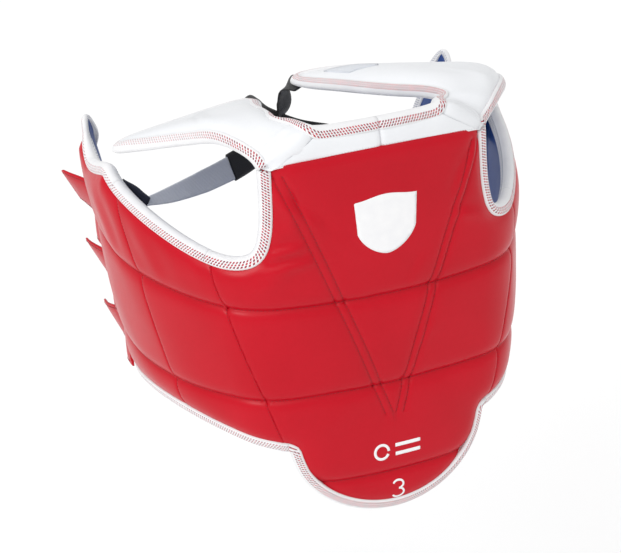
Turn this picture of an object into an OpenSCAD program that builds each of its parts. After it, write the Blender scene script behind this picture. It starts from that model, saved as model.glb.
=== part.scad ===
// Chest protector for taekwondo: a quilted foam vest with a pointed front, two wings that wrap the
// ribs, two shoulder caps, three closing tabs and a pair of crossed elastic back straps.
// Millimetres. The wearer stands on the Z axis, faces -Y and has the left hand towards +X.
// Z = 0 is the height of the lowest point of the front.

/* [Front] */
// Height of the neckline above the tip at the centre
neck_z = 423; // [415:1:428]
// Height of the seam between the red body and the white yoke at the centre
yoke_z = 393; // [390:1:396]
// Height of the upper quilting seam at the centre
upper_seam_z = 240; // [232:1:248]
// Height of the lower quilting seam
lower_seam_z = 143; // [138:1:148]
// Height of the short quilting seam above the size numeral
tip_seam_z = 44; // [42:1:48]
// Half width of the rounded tip where it meets the wings
tip_w = 118; // [117:0.5:119]
// Height at which the tip's outline stands upright
tip_h = 85; // [84:1:88]

/* [Wrap, seen from above] */
// Radius of the nearly flat chest
chest_r = 500; // [480:5:520]
// Arc length from the centre line to the turn towards the side
chest_l = 108; // [106:1:110]
// Radius of the turn from the chest to the side
turn_r = 76; // [74:1:80]
// Arc length of that turn
turn_l = 57; // [55:1:59]
// Radius of the side and the back
side_r = 290; // [285:1:295]
// Distance from the wearer's axis to the middle of the front panel
front_y = 154; // [150:1:158]
// Widening of the wrap per millimetre of height
taper = 0.00052; // [0.00045:0.00001:0.0006]
// Height at which the wrap has exactly these radii
wrap_z = 250; // [245:1:255]
// Arc length from the centre line to the back edge of a wing
back_u = 480; // [476:1:482]

/* [Padding] */
// Thickness of the foam core
foam_t = 18; // [17:0.5:18.5]
// Thickness of the coated outer cover
cover_t = 1.2; // [1:0.1:1.4]
// Thickness of the lining
lining_t = 1; // [0.8:0.1:1.2]
// Width of the edge binding seen on each face
binding_w = 6; // [5:0.5:7]
// Height left free between two foam rows for a quilting seam
channel = 4; // [3:0.5:5]

/* [Shoulder caps] */
// Thickness of the foam in a shoulder cap
cap_foam_t = 13; // [11:0.5:14]
// Rise of the middle of a cap above its corners
cap_crown = 13; // [8:1:16]

/* [Straps and tabs] */
// Width of the crossed back straps
strap_w = 38; // [34:1:40]
// Thickness of the strap webbing
strap_t = 2; // [1.5:0.1:2.5]
// Height of a closing tab
tab_h = 48; // [44:1:50]
// Length of a closing tab beyond the back edge
tab_l = 78; // [70:1:85]
// Thickness of a closing tab
tab_t = 3; // [2.5:0.1:3.5]

/* [Hidden] */

red = [0.80, 0.04, 0.09];
blue = [0.06, 0.17, 0.45];
white = [0.93, 0.93, 0.94];
black = [0.05, 0.05, 0.06];
grey = [0.62, 0.64, 0.67];
foam_colour = [0.85, 0.84, 0.78];

// Depths are measured outwards from the middle of the foam.
foam_d = foam_t / 2;
skin_gap = 0.9;
cover_in = foam_d + skin_gap;
cover_out = cover_in + cover_t;
lining_in = -foam_d - skin_gap;
lining_out = lining_in - lining_t;
mark_t = 0.5;
seam_gap = 1.2;
groove = tan(25);
columns = 8;

// ---- The wrap: tangent arcs in plan, widening evenly with height ----
function turned(length, radius) = length / radius * 180 / PI;
function along(start, radius, length) =
    let (heading = start[2] + turned(length, radius))
    [start.x + radius * (sin(heading) - sin(start[2])),
     start.y - radius * (cos(heading) - cos(start[2])),
     heading];
turn_start = along([0, 0, 0], chest_r, chest_l);
side_start = along(turn_start, turn_r, turn_l);
function plan(u) =
    u < chest_l ? along([0, 0, 0], chest_r, u) :
    u < chest_l + turn_l ? along(turn_start, turn_r, u - chest_l) :
    along(side_start, side_r, u - chest_l - turn_l);
// The point at arc length u from the centre line, height z and depth d
function on_body(u, z, d) =
    let (p = plan(abs(u)), widen = 1 + taper * (z - wrap_z), side = u < 0 ? -1 : 1)
    [side * (p.x + d * sin(p[2])) * widen, -front_y + (p.y - d * cos(p[2])) * widen, z];

function mix(a, b, t) = a + (b - a) * t;

// ---- Outline of one half, as heights over the arc length u >= 0 ----
// Lower edge: an elliptical tip, a fillet, and a wing edge that arches gently
fillet_start = 110;
fillet_end = 134;
function tip_edge(u, e) = e + (tip_h - e) * (1 - sqrt(1 - pow(min(u / (tip_w - e), 0.999), 2)));
function wing_edge(u, e) = tip_h - 1 + 20 * sin(180 * (u - 125) / 325) + e;
function ease(t) = t * t * (3 - 2 * t);
function low_edge(u, e) =
    u < fillet_start - e ? tip_edge(u, e) :
    u > fillet_end ? wing_edge(u, e) + (u > 455 ? pow((u - 455) / 6, 2) : 0) :
    mix(tip_edge(min(u, tip_w - e - 2), e), wing_edge(max(u, 125), e),
        ease((u - fillet_start + e) / (fillet_end - fillet_start + e)));
// Upper edge: yoke seam, armhole, wing top, horn and sloping back corner
function yoke_seam(u) = yoke_z - 6.5 * pow(u / 120, 2);
upper_outline = [
    [112, 388], [115, 345], [119, 318], [130, 308], [145, 306], [162, 308], [185, 312], [221, 321],
    [252, 331], [288, 338], [304, 344], [313, 357], [350, 349], [389, 338], [393, 365], [398, 377],
    [404, 380], [411, 374], [455, 312], [472, 268], [484, 215]
];
// Inset by e both downwards and sideways, because the outline is steep in places
function upper_edge(u, e) =
    min([for (k = [-1:0.25:1]) lookup(u + k * e, upper_outline)]) - e;
// The armhole's upright front edge moves sideways when it is inset
function armhole(u, e) = u < 150 ? lookup(u + e, upper_outline) - e : upper_edge(u, e);

// ---- Seams between the rigid sections: slanted lines on the wrap ----
function seam_a(z) = 173 - 0.247 * (300 - z);
function seam_b(z) = 286 - 0.22 * (292 - z);
upper_seam = function(u) upper_seam_z + 12 * pow(u / 300, 2);
lower_seam = function(u) lower_seam_z;
tip_seam = function(u) tip_seam_z;
function v_groove(d) = seam_gap + groove * max(0, d + 3);

// ---- Solid between grids of points, outermost grid first; columns run towards +X, rows upwards ----
module shell(layers) {
    rows = len(layers[0]);
    cols = len(layers[0][0]);
    last = len(layers) - 1;
    points = [for (layer = layers) for (row = layer) for (p = row) p];
    function at(k, j, i) = (k * rows + j) * cols + i;
    function quad(a, b, c, d) = [[a, b, c], [a, c, d]];
    faces = [
        for (j = [0:rows - 2]) for (i = [0:cols - 2])
            each quad(at(0, j, i), at(0, j + 1, i), at(0, j + 1, i + 1), at(0, j, i + 1)),
        for (j = [0:rows - 2]) for (i = [0:cols - 2])
            each quad(at(last, j, i), at(last, j, i + 1), at(last, j + 1, i + 1), at(last, j + 1, i)),
        for (k = [0:last - 1]) for (i = [0:cols - 2])
            each quad(at(k, 0, i), at(k, 0, i + 1), at(k + 1, 0, i + 1), at(k + 1, 0, i)),
        for (k = [0:last - 1]) for (i = [0:cols - 2])
            each quad(at(k, rows - 1, i), at(k + 1, rows - 1, i), at(k + 1, rows - 1, i + 1),
                      at(k, rows - 1, i + 1)),
        for (k = [0:last - 1]) for (j = [0:rows - 2])
            each quad(at(k, j, 0), at(k + 1, j, 0), at(k + 1, j + 1, 0), at(k, j + 1, 0)),
        for (k = [0:last - 1]) for (j = [0:rows - 2])
            each quad(at(k, j, cols - 1), at(k, j + 1, cols - 1), at(k + 1, j + 1, cols - 1),
                      at(k + 1, j, cols - 1))
    ];
    polyhedron(points, faces, convexity = 8);
}

// Grid of a panel that runs from left(z) to right(z) and from low(u) to high(u), at depth d.
// Fractions across the panel come from the list ws, so that columns can crowd where the edge is steep.
function panel_grid(ws, rows, left, right, low, high, d) =
    [for (j = [0:rows]) [for (w = ws)
        let (u0 = mix(left(200), right(200), w),
             z0 = mix(low(abs(u0)), high(abs(u0)), j / rows),
             u = mix(left(z0), right(z0), w))
        on_body(u, mix(low(abs(u)), high(abs(u)), j / rows), d)]];
function even(n) = [for (i = [0:n]) i / n];

module panel(ws, rows, left, right, low, high, depths) {
    shell([for (d = depths)
        panel_grid(ws, rows, function(z) left(z, d), function(z) right(z, d), low, high, d)]);
}

// Thin band that follows a path of [u, z] points on the wrap, between two depths
module band(path, width, outer, inner) {
    last = len(path) - 1;
    normals = [for (i = [0:last])
        let (t = path[min(i + 1, last)] - path[max(i - 1, 0)]) [-t.y, t.x] / norm(t)];
    shell([for (d = [outer, inner])
        [for (side = [-0.5, 0.5])
            [for (i = [0:last])
                let (q = path[i] + normals[i] * width * side) on_body(q.x, q.y, d)]]]);
}

// Binding along an outline path: a strip as deep as the panel, just outside its edge
binding_d = cover_out + 0.3;
module binding(path) {
    band(path, binding_w - 0.6, binding_d, -binding_d);
}

// ---- Chest ----
chest_left = function(z, d) -seam_a(z) + v_groove(d);
chest_right = function(z, d) seam_a(z) - v_groove(d);
chest_half = [0, 0.2, 0.38, 0.5, 0.57, 0.63, 0.67, 0.71, 0.76, 0.84, 0.92, 1];
chest_ws = [
    for (i = [len(chest_half) - 1:-1:1]) 0.5 - chest_half[i] / 2,
    for (w = chest_half) 0.5 + w / 2
];
edge_in = binding_w;
chest_low = function(u) low_edge(u, edge_in);
armhole_gap = edge_in + 4;
chest_high = function(u) u + armhole_gap < 112 ? yoke_seam(u) - 1 : upper_edge(u, armhole_gap);

module chest_skin(outer, inner) {
    panel(chest_ws, 8, chest_left, chest_right, chest_low, chest_high, [outer, inner]);
}
module chest_cover() {
    color(red) chest_skin(cover_out, cover_in);
}
module chest_lining() {
    color(blue) chest_skin(lining_in, lining_out);
}
module chest_foam(low, high, rows) {
    color(foam_colour)
        panel(chest_ws, rows, function(z, d) chest_left(z, d) + 1, function(z, d) chest_right(z, d) - 1,
              low, high, [foam_d, 0, -foam_d]);
}
module foam_tip() {
    tip_reach = 92;
    color(foam_colour)
        panel(even(12), 2, function(z, d) -tip_reach, function(z, d) tip_reach,
              function(u) chest_low(u) + 1, function(u) tip_seam_z - channel / 2,
              [foam_d, 0, -foam_d]);
}
module foam_low() {
    chest_foam(function(u) max(chest_low(u) + 1, tip_seam_z + channel / 2),
               function(u) lower_seam_z - channel / 2, 2);
}
module foam_mid() {
    chest_foam(function(u) lower_seam_z + channel / 2,
               function(u) upper_seam(u) - channel / 2, 2);
}
module foam_top() {
    chest_foam(function(u) upper_seam(u) + channel / 2, function(u) chest_high(u) - 1, 3);
}
// The edge paths run along the middle of the binding
function path_inset(u) = low_edge(u, binding_w / 2);
module chest_binding() {
    armhole_front = [[109, 386], [112, 345], [116, 316], [128, 305.5], [145, 303], [168, 305.5]];
    color(white) {
        binding([for (u = [-106:4:106]) [u, path_inset(abs(u))]]);
        binding([for (i = [len(armhole_front) - 1:-1:0]) armhole_front[i]]);
        mirror([1, 0, 0]) binding([for (i = [len(armhole_front) - 1:-1:0]) armhole_front[i]]);
    }
}
module seam_wall(from, to, height) {
    wall_t = 1;
    wall_d = foam_d - 2;
    panel(even(2 * columns), 1, function(z, d) from, function(z, d) to,
          function(u) height(u) - wall_t / 2, function(u) height(u) + wall_t / 2,
          [wall_d, -wall_d]);
}
module chest_quilting() {
    color(red) {
        seam_wall(-88, 88, tip_seam);
        seam_wall(-126, 126, lower_seam);
        seam_wall(-150, 150, upper_seam);
    }
}
// Two rows of stitches on each arm of the V
v_top = [91, 380];
v_foot = [0, 111];
v_spacing = 9;
thread_w = 1.2;
module v_stitching() {
    color([0.55, 0.02, 0.06])
        for (side = [-1, 1])
            for (row = [-1, 1])
                band([for (t = even(6))
                      [side * (mix(v_foot.x, v_top.x, t) + 6 + row * v_spacing / 2),
                       mix(v_foot.y, v_top.y, t)]],
                     thread_w, cover_out + mark_t + 0.1, cover_out + 0.1);
}
// Plain shield with a pointed foot
shield_w = 33;
shield_top = 350;
shield_h = 60;
module shield_emblem() {
    color(white)
        panel(even(14), 2, function(z, d) -shield_w, function(z, d) shield_w,
              function(u) shield_top - shield_h * (0.45 + 0.55 * sqrt(1 - pow(u / shield_w, 1.6))),
              function(u) shield_top - 4 * pow(sin(90 * u / shield_w), 2),
              [cover_out + mark_t + 0.1, cover_out + 0.1]);
}
// Ring with two short bars beside it
module tip_mark() {
    ring_r = 8;
    ring_at = [-18, 70];
    color(white) {
        band([for (a = [0:20:340]) ring_at + ring_r * [cos(a), sin(a)]], 3,
             cover_out + mark_t + 0.1, cover_out + 0.1);
        for (z = [65, 75])
            band([[-2, z], [13, z], [28, z]], 4, cover_out + mark_t + 0.1, cover_out + 0.1);
    }
}
// The figure three: two bowls, one above the other
numeral_at = 20;
bowl_r = 5;
module size_numeral() {
    bowls = [
        for (a = [150:-20:-70]) [0, numeral_at + bowl_r] + bowl_r * [cos(a), sin(a)],
        for (a = [70:-20:-150]) [0, numeral_at - bowl_r] + bowl_r * [cos(a), sin(a)]
    ];
    color(white) band(bowls, 2.4, cover_out + mark_t + 0.1, cover_out + 0.1);
}

// ---- Yoke ----
yoke_outline = [[0, 423], [37, 422], [60, 420], [80, 411], [100, 400], [110, 392]];
yoke_high = function(u) lookup(u, yoke_outline) - (423 - neck_z);
yoke_reach = 104;
module yoke_skin(outer, inner) {
    panel(even(18), 2, function(z, d) -yoke_reach, function(z, d) yoke_reach,
          function(u) yoke_seam(u) + 1, yoke_high, [outer, inner]);
}
module yoke_cover() {
    color(white) yoke_skin(cover_out, cover_in);
}
module yoke_foam() {
    color(foam_colour)
        panel(even(18), 2, function(z, d) -yoke_reach + 1, function(z, d) yoke_reach - 1,
              function(u) yoke_seam(u) + 2, function(u) yoke_high(u) - 1, [foam_d, -foam_d]);
}
module yoke_lining() {
    color(blue) yoke_skin(lining_in, lining_out);
}
module neck_binding() {
    color(white) binding([for (u = [-72:6:72]) [u, yoke_high(abs(u)) + binding_w / 2]]);
}

// ---- Side section, wearer's left ----
side_from = function(z, d) seam_a(z) + v_groove(d);
side_to = function(z, d) seam_b(z) - v_groove(d);
wing_low = function(u) low_edge(max(u, fillet_end), edge_in);
wing_high = function(u) armhole(u, edge_in);

module side_skin(outer, inner) {
    panel(even(columns), 6, side_from, side_to, wing_low, wing_high, [outer, inner]);
}
// Three rows of foam; the top row may end earlier than the others, where the wing slopes down
module row_foam(cols, from, to, top_to) {
    depths = [foam_d, 0, -foam_d];
    color(foam_colour) {
        panel(even(cols), 1, from, to, function(u) wing_low(u) + 1,
              function(u) lower_seam_z - channel / 2, depths);
        panel(even(cols), 2, from, to, function(u) lower_seam_z + channel / 2,
              function(u) min(upper_seam(u) - channel / 2, wing_high(u) - 3), depths);
        panel(even(cols), 2, from, top_to, function(u) upper_seam(u) + channel / 2,
              function(u) wing_high(u) - 3, depths);
    }
}
module side_cover() {
    color(red) side_skin(cover_out, cover_in);
}
module side_lining() {
    color(blue) side_skin(lining_in, lining_out);
}
module side_foam() {
    to = function(z, d) side_to(z, d) - 1;
    row_foam(columns, function(z, d) side_from(z, d) + 1, to, to);
}
module side_binding() {
    color(white) {
        binding([for (u = [130:10:236]) [u, low_edge(max(u, fillet_end), binding_w / 2)]]);
        binding([for (u = [284:-8:184]) [u, upper_edge(u, binding_w / 2)]]);
    }
}
module side_quilting() {
    color(red) {
        seam_wall(143, 244, lower_seam);
        seam_wall(168, 266, upper_seam);
    }
}

// ---- Back section, wearer's left ----
back_from = function(z, d) seam_b(z) + v_groove(d);
back_to = function(z, d) back_reach;
back_ws = [0, 0.12, 0.2, 0.28, 0.38, 0.48, 0.52, 0.56, 0.6, 0.64, 0.72, 0.8, 0.87, 0.94, 1];
back_reach = back_u - binding_w;
top_row_reach = 458;
back_high = function(u) max(upper_edge(u, edge_in + 1.5), low_edge(u, edge_in) + 40);
module back_skin(outer, inner) {
    panel(back_ws, 6, back_from, back_to, wing_low, back_high, [outer, inner]);
}
module back_cover() {
    color(red) back_skin(cover_out, cover_in);
}
module back_lining() {
    color(blue) back_skin(lining_in, lining_out);
}
module back_foam() {
    row_foam(columns + 6, function(z, d) back_from(z, d) + 1, function(z, d) back_reach - 1,
             function(z, d) top_row_reach);
}
module back_binding() {
    half = binding_w / 2;
    top_path = [
        for (i = [len(upper_outline) - 1:-1:0])
            if (upper_outline[i].x > 292) upper_outline[i] - [i > 17 ? half : 0, half]
    ];
    color(white) {
        binding([for (u = [252:12:456]) [u, low_edge(u, half)]]);
        binding([[back_u - half, 108], [back_u - half, 150], [back_u - half, 205]]);
        binding(top_path);
    }
}
module back_quilting() {
    color(red) {
        seam_wall(262, 468, lower_seam);
        seam_wall(288, top_row_reach, upper_seam);
    }
}
// Loop patches that the tabs close on, one behind each tab
tab_z = [250, 172, 112];
module loop_patches() {
    color(black)
        for (z = tab_z)
            panel(even(5), 1, function(h, d) 395, function(h, d) 456,
                  function(u) max(z - tab_h / 2, low_edge(u, edge_in + 3)),
                  function(u) z + tab_h / 2,
                  [cover_out + 1.3, cover_out + 0.1]);
}

// ---- Shoulder caps, wearer's left ----
cap_neck = [79, -120, 425];
cap_front = [126, -130, 407];
cap_tip = [214, 22, 376];
cap_nose = [38, 78, 394];
function cap_point(s, t, up) =
    mix(mix(cap_neck, cap_front, t), mix(cap_nose, cap_tip, t), s)
    + [0, 0, up + cap_crown * sin(180 * min(s, 1)) * (0.6 + 0.4 * sin(180 * t))];
module cap_layer(top, bottom, inset) {
    rows = 7;
    shell([for (up = [top, bottom])
        [for (j = [0:rows]) [for (i = [0:rows])
            cap_point(mix(inset, 1 - inset, j / rows), mix(inset, 1 - inset, i / rows), up)]]]);
}
cap_mid = cap_foam_t / 2;
cap_top = cap_mid + skin_gap + cover_t;
module cap_cover() {
    color(white) cap_layer(cap_top, cap_mid + skin_gap, 0.02);
}
module cap_foam() {
    color(foam_colour) cap_layer(cap_mid, -cap_mid, 0.03);
}
module cap_lining() {
    color(blue) cap_layer(-cap_mid - skin_gap, -cap_mid - skin_gap - lining_t, 0.02);
}
// Binding round the free edges of a cap: neck side, back and armhole side
module cap_binding() {
    reach = cap_top + 0.3;
    route = [
        for (s = [0.06:0.16:0.86]) [s, 0],
        [1, 0.02],
        for (t = [0.16:0.14:0.86]) [1, t],
        [1, 0.98],
        for (s = [0.86:-0.16:0.06]) [s, 1]
    ];
    middle = cap_point(0.5, 0.5, 0);
    function outwards(p) = let (v = p - middle) [v.x, v.y, 0] / norm([v.x, v.y]);
    color(white)
        shell([for (up = [reach, -reach])
            [for (out = [0.2, 4])
                [for (q = route)
                    let (p = cap_point(q[0], q[1], up)) p + outwards(p) * out]]]);
}
// Grey fastening patch on the back end of the cap
module cap_patch() {
    color(grey)
        shell([for (up = [cap_top + 1.6, cap_top + 0.5])
            [for (s = [0.8, 0.88, 0.95]) [for (t = [0.05, 0.12, 0.2]) cap_point(s, t, up)]]]);
}

// ---- Strip along points, flat across the given width directions ----
module ribbon(points, across, width, thick) {
    last = len(points) - 1;
    function unit(v) = v / norm(v);
    faces_out = [for (i = [0:last])
        unit(cross(points[min(i + 1, last)] - points[max(i - 1, 0)], across[i]))];
    shell([for (side = [0.5, -0.5])
        [for (edge = [-0.5, 0.5])
            [for (i = [0:last])
                points[i] + unit(across[i]) * width * edge + faces_out[i] * thick * side]]]);
}

// ---- Back straps: each starts under its cap's nose, crosses the other and ends at the far wing ----
// The left one runs from the left cap to the right wing, in front of the right one.
upright = [0, 0.35, 1];
strap_gap = 14;
function strap_route(shift) = [
    [30, 86 + shift, 380], [25, 92 + shift, 368], [10, 97 + shift, 348], [-12, 95 + shift, 333],
    [-35, 84 + shift / 2, 325]
];
cuff_route = [[-37, 83, 324.5], [-52, 74, 322], [-66, 65, 321]];
elastic_route = [[-68, 64, 321], [-110, 42, 322], [-150, 20, 325], [-182, 3, 329]];
anchor_route = [[-184, 2, 329], [-187, -9, 325], [-182, -26, 322]];
module strap_band(shift) {
    route = strap_route(shift);
    color(black) ribbon(route, [for (p = route) upright], strap_w, strap_t);
}
module strap_cuff() {
    color(black) ribbon(cuff_route, [for (p = cuff_route) upright], strap_w - 6, strap_t * 2);
}
module strap_elastic() {
    color(grey) ribbon(elastic_route, [for (p = elastic_route) upright], strap_w - 14, strap_t);
}
module strap_anchor() {
    color([0.04, 0.05, 0.12]) ribbon(anchor_route, [for (p = anchor_route) upright], 22, strap_t);
}

// ---- Closing tabs on the right wing ----
tab_heading = 86;
tab_out = 4;
function tab_foot(z) = let (p = on_body(-(back_u + 3), z, tab_out)) p;
module tab_plate(z, length, from, side, thick) {
    foot = tab_foot(z);
    run = [-cos(tab_heading), sin(tab_heading), 0];
    off = [-run.y, run.x, 0];
    route = [for (t = [from, mix(from, length, 0.5), length]) foot + run * t + off * side];
    ribbon(route, [for (p = route) [0, 0, 1]], tab_h - (side == 0 ? 0 : 6), thick);
}
module tab(z) {
    color(red) tab_plate(z, tab_l, 2, 0, tab_t);
}
module tab_hook(z) {
    color(black) tab_plate(z, tab_l - 4, tab_l * 0.35, -(tab_t / 2 + 0.8), 1.2);
}

chest_cover();
chest_lining();
foam_tip();
foam_low();
foam_mid();
foam_top();
chest_binding();
chest_quilting();
v_stitching();
shield_emblem();
tip_mark();
size_numeral();
yoke_cover();
yoke_foam();
yoke_lining();
neck_binding();
side_cover();  // side_cover_left
side_lining();  // side_lining_left
side_foam();  // side_foam_left
side_binding();  // side_binding_left
side_quilting();  // side_quilting_left
mirror([1, 0, 0]) side_cover();  // side_cover_right
mirror([1, 0, 0]) side_lining();  // side_lining_right
mirror([1, 0, 0]) side_foam();  // side_foam_right
mirror([1, 0, 0]) side_binding();  // side_binding_right
mirror([1, 0, 0]) side_quilting();  // side_quilting_right
back_cover();  // back_cover_left
back_lining();  // back_lining_left
back_foam();  // back_foam_left
back_binding();  // back_binding_left
back_quilting();  // back_quilting_left
mirror([1, 0, 0]) back_cover();  // back_cover_right
mirror([1, 0, 0]) back_lining();  // back_lining_right
mirror([1, 0, 0]) back_foam();  // back_foam_right
mirror([1, 0, 0]) back_binding();  // back_binding_right
mirror([1, 0, 0]) back_quilting();  // back_quilting_right
cap_cover();  // cap_cover_left
cap_lining();  // cap_lining_left
cap_foam();  // cap_foam_left
cap_binding();  // cap_binding_left
mirror([1, 0, 0]) cap_cover();  // cap_cover_right
mirror([1, 0, 0]) cap_lining();  // cap_lining_right
mirror([1, 0, 0]) cap_foam();  // cap_foam_right
mirror([1, 0, 0]) cap_binding();  // cap_binding_right
tab(tab_z[0]);  // tab_top
tab(tab_z[1]);  // tab_middle
tab(tab_z[2]);  // tab_bottom
tab_hook(tab_z[0]);  // tab_hook_top
tab_hook(tab_z[1]);  // tab_hook_middle
tab_hook(tab_z[2]);  // tab_hook_bottom
loop_patches();
strap_band(strap_gap / 2);  // strap_band_left
strap_cuff();  // strap_cuff_left
strap_elastic();  // strap_elastic_left
strap_anchor();  // strap_anchor_left
mirror([1, 0, 0]) strap_band(-strap_gap / 2);  // strap_band_right
mirror([1, 0, 0]) strap_cuff();  // strap_cuff_right
mirror([1, 0, 0]) strap_elastic();  // strap_elastic_right
mirror([1, 0, 0]) strap_anchor();  // strap_anchor_right
cap_patch();  // cap_patch_left
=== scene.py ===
import math

import bpy
import numpy as np
from mathutils import Matrix, Vector
from mathutils.geometry import delaunay_2d_cdt


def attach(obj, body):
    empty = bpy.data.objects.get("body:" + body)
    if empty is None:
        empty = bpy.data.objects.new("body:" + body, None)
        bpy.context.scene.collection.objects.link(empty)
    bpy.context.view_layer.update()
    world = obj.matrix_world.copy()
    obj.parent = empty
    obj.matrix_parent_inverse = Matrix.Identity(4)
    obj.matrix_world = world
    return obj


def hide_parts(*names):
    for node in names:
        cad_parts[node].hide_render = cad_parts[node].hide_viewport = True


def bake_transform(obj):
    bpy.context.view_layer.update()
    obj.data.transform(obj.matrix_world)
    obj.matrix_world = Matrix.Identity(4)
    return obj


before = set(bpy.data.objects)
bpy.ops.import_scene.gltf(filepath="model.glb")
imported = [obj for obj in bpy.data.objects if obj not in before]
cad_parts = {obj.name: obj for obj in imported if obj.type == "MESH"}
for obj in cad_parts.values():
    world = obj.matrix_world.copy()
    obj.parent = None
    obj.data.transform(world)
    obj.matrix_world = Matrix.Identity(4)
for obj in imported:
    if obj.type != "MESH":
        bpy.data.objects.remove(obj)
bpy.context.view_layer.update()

MM = 0.001

# ---- Design values shared with part.scad, in millimetres ----
CHEST_R, CHEST_L = 500, 108
TURN_R, TURN_L = 76, 57
SIDE_R = 290
FRONT_Y = 154
TAPER, WRAP_Z = 0.00052, 250
TIP_W, TIP_H = 118, 85
FILLET_START, FILLET_END = 110, 134
BACK_U = 480
YOKE_Z = 393
UPPER_SEAM_Z, LOWER_SEAM_Z, TIP_SEAM_Z = 240, 143, 44
V_TOP, V_FOOT, V_SPACING = (91, 380), (0, 111), 9
TAB_Z, TAB_H, TAB_HEADING = (250, 172, 112), 48, 86

# ---- Values of the looks ----
FULL_DEPTH = 11.2       # depth of the cover on a full foam row
LINING_DEPTH = 9.8
SEAM_PINCH = 4.8        # how far a quilting seam pulls the cover in
SEAM_SOFT = 4.6         # how fast the cover rises beside a quilting seam
PANEL_IN = 5            # the panels end this far inside the outline
EDGE_HOLD = 10          # the binding presses the cover down this far inside the outline
STEP = 3.0              # spacing of points along outlines and seams
LATTICE = 3.7           # spacing of points inside a panel


# ---- Small helpers ----
def unit(v):
    return v / np.linalg.norm(v, axis=-1)[..., None]


def square_to(v, run):
    """The part of each vector that is square to a unit run."""
    return v - run * (v * run).sum(1)[:, None]


def loop(polygon):
    return np.concatenate([polygon, polygon[:1]])


def run_of(line):
    """Length so far along a polyline."""
    return np.concatenate([[0], np.cumsum(np.linalg.norm(np.diff(line, axis=0), axis=1))])


def pick(at, run, values):
    """Rows of values at the lengths at, where run gives the length at each row."""
    return np.stack([np.interp(at, run, column) for column in np.asarray(values).T], axis=1)


def hand_of(side):
    return 1 if side == "left" else -1


def sided(side):
    """Turns places drawn on the left into places on a side."""
    return np.array([hand_of(side), 1.0, 1])


# ---- The wrap ----
def along(start, radius, length):
    heading = start[2] + length / radius
    return (start[0] + radius * (np.sin(heading) - np.sin(start[2])),
            start[1] - radius * (np.cos(heading) - np.cos(start[2])),
            heading)


TURN_START = along((0.0, 0.0, 0.0), CHEST_R, CHEST_L)
SIDE_START = along(TURN_START, TURN_R, TURN_L)


def plan(u):
    """Place and heading at arc length u from the centre line."""
    front = along((0.0, 0.0, 0.0), CHEST_R, u)
    turn = along(TURN_START, TURN_R, u - CHEST_L)
    side = along(SIDE_START, SIDE_R, u - CHEST_L - TURN_L)
    return [np.where(u < CHEST_L, f, np.where(u < CHEST_L + TURN_L, t, s))
            for f, t, s in zip(front, turn, side)]


def on_body(p, d):
    """Points in millimetres for flat places p = (u, z) and depths d outwards from the foam's middle."""
    p = np.atleast_2d(np.asarray(p, float))
    x, y, heading = plan(np.abs(p[:, 0]))
    widen = 1 + TAPER * (p[:, 1] - WRAP_Z)
    hand = np.where(p[:, 0] < 0, -1.0, 1.0)
    return np.stack([hand * (x + d * np.sin(heading)) * widen,
                     -FRONT_Y + (y - d * np.cos(heading)) * widen,
                     p[:, 1]], axis=1)


# ---- Seams and outline, as in part.scad ----
def seam_a(z):
    return 173 - 0.247 * (300 - z)


def seam_b(z):
    return 286 - 0.22 * (292 - z)


def upper_seam(u):
    return UPPER_SEAM_Z + 12 * (u / 300) ** 2


def yoke_seam(u):
    return YOKE_Z - 6.5 * (u / 120) ** 2


def ease(t):
    t = np.clip(t, 0, 1)
    return t * t * (3 - 2 * t)


def wing_edge(u):
    return TIP_H - 1 + 20 * np.sin(np.pi * (u - 125) / 325)


def low_edge(u):
    tip = TIP_H * (1 - np.sqrt(1 - np.minimum(u / TIP_W, 0.9995) ** 2))
    wing = wing_edge(u) + np.where(u > 455, ((u - 455) / 6) ** 2, 0)
    share = ease((u - FILLET_START) / (FILLET_END - FILLET_START))
    blended = np.minimum(tip, 85) * (1 - share) + wing_edge(np.maximum(u, 125)) * share
    return np.where(u < FILLET_START, tip, np.where(u > FILLET_END, wing, blended))


def rounded(corners, steps=7):
    """Polyline through corners (u, z, radius) whose corners are bent round."""
    points = []
    for i, (u, z, radius) in enumerate(corners):
        here = np.array([u, z], float)
        if radius == 0 or i in (0, len(corners) - 1):
            points.append(here)
            continue
        before, after = np.array(corners[i - 1][:2], float), np.array(corners[i + 1][:2], float)
        cut = []
        for other in (before, after):
            reach = np.linalg.norm(other - here)
            cut.append(here + (other - here) * min(radius / reach, 0.48))
        for t in np.linspace(0, 1, steps):
            points.append((1 - t) ** 2 * cut[0] + 2 * t * (1 - t) * here + t * t * cut[1])
    return np.array(points)


def resample(line, step=STEP):
    length = run_of(line)
    return pick(np.linspace(0, length[-1], max(2, int(round(length[-1] / step)) + 1)), length, line)


# Outline of the left half, from the bottom centre round to the yoke seam's end.
# Corners are (u, z, how much is rounded off).
BACK_AND_TOP = [
    (480, 102, 12), (481, 205, 22), (472, 262, 60), (452, 316, 60), (414, 371, 16), (404, 382, 9),
    (396, 374, 12), (390, 341, 14), (352, 347, 22), (313, 358, 12), (302, 344, 18), (250, 325, 60),
    (186, 303, 50), (150, 296, 26), (127, 300, 22), (119, 326, 30), (116, 352, 30)
]
CORNER_U = 114


def half_outline():
    u = np.concatenate([np.linspace(0, 100, 40), np.linspace(101, 140, 60), np.linspace(142, 476, 110)])
    low = np.stack([u, low_edge(u)], axis=1)
    end = (CORNER_U, float(yoke_seam(CORNER_U)))
    top = rounded([(*low[-1], 0), *BACK_AND_TOP, (*end, 0)])
    return resample(np.concatenate([low, top[1:]]))


OUTLINE = half_outline()


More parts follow.
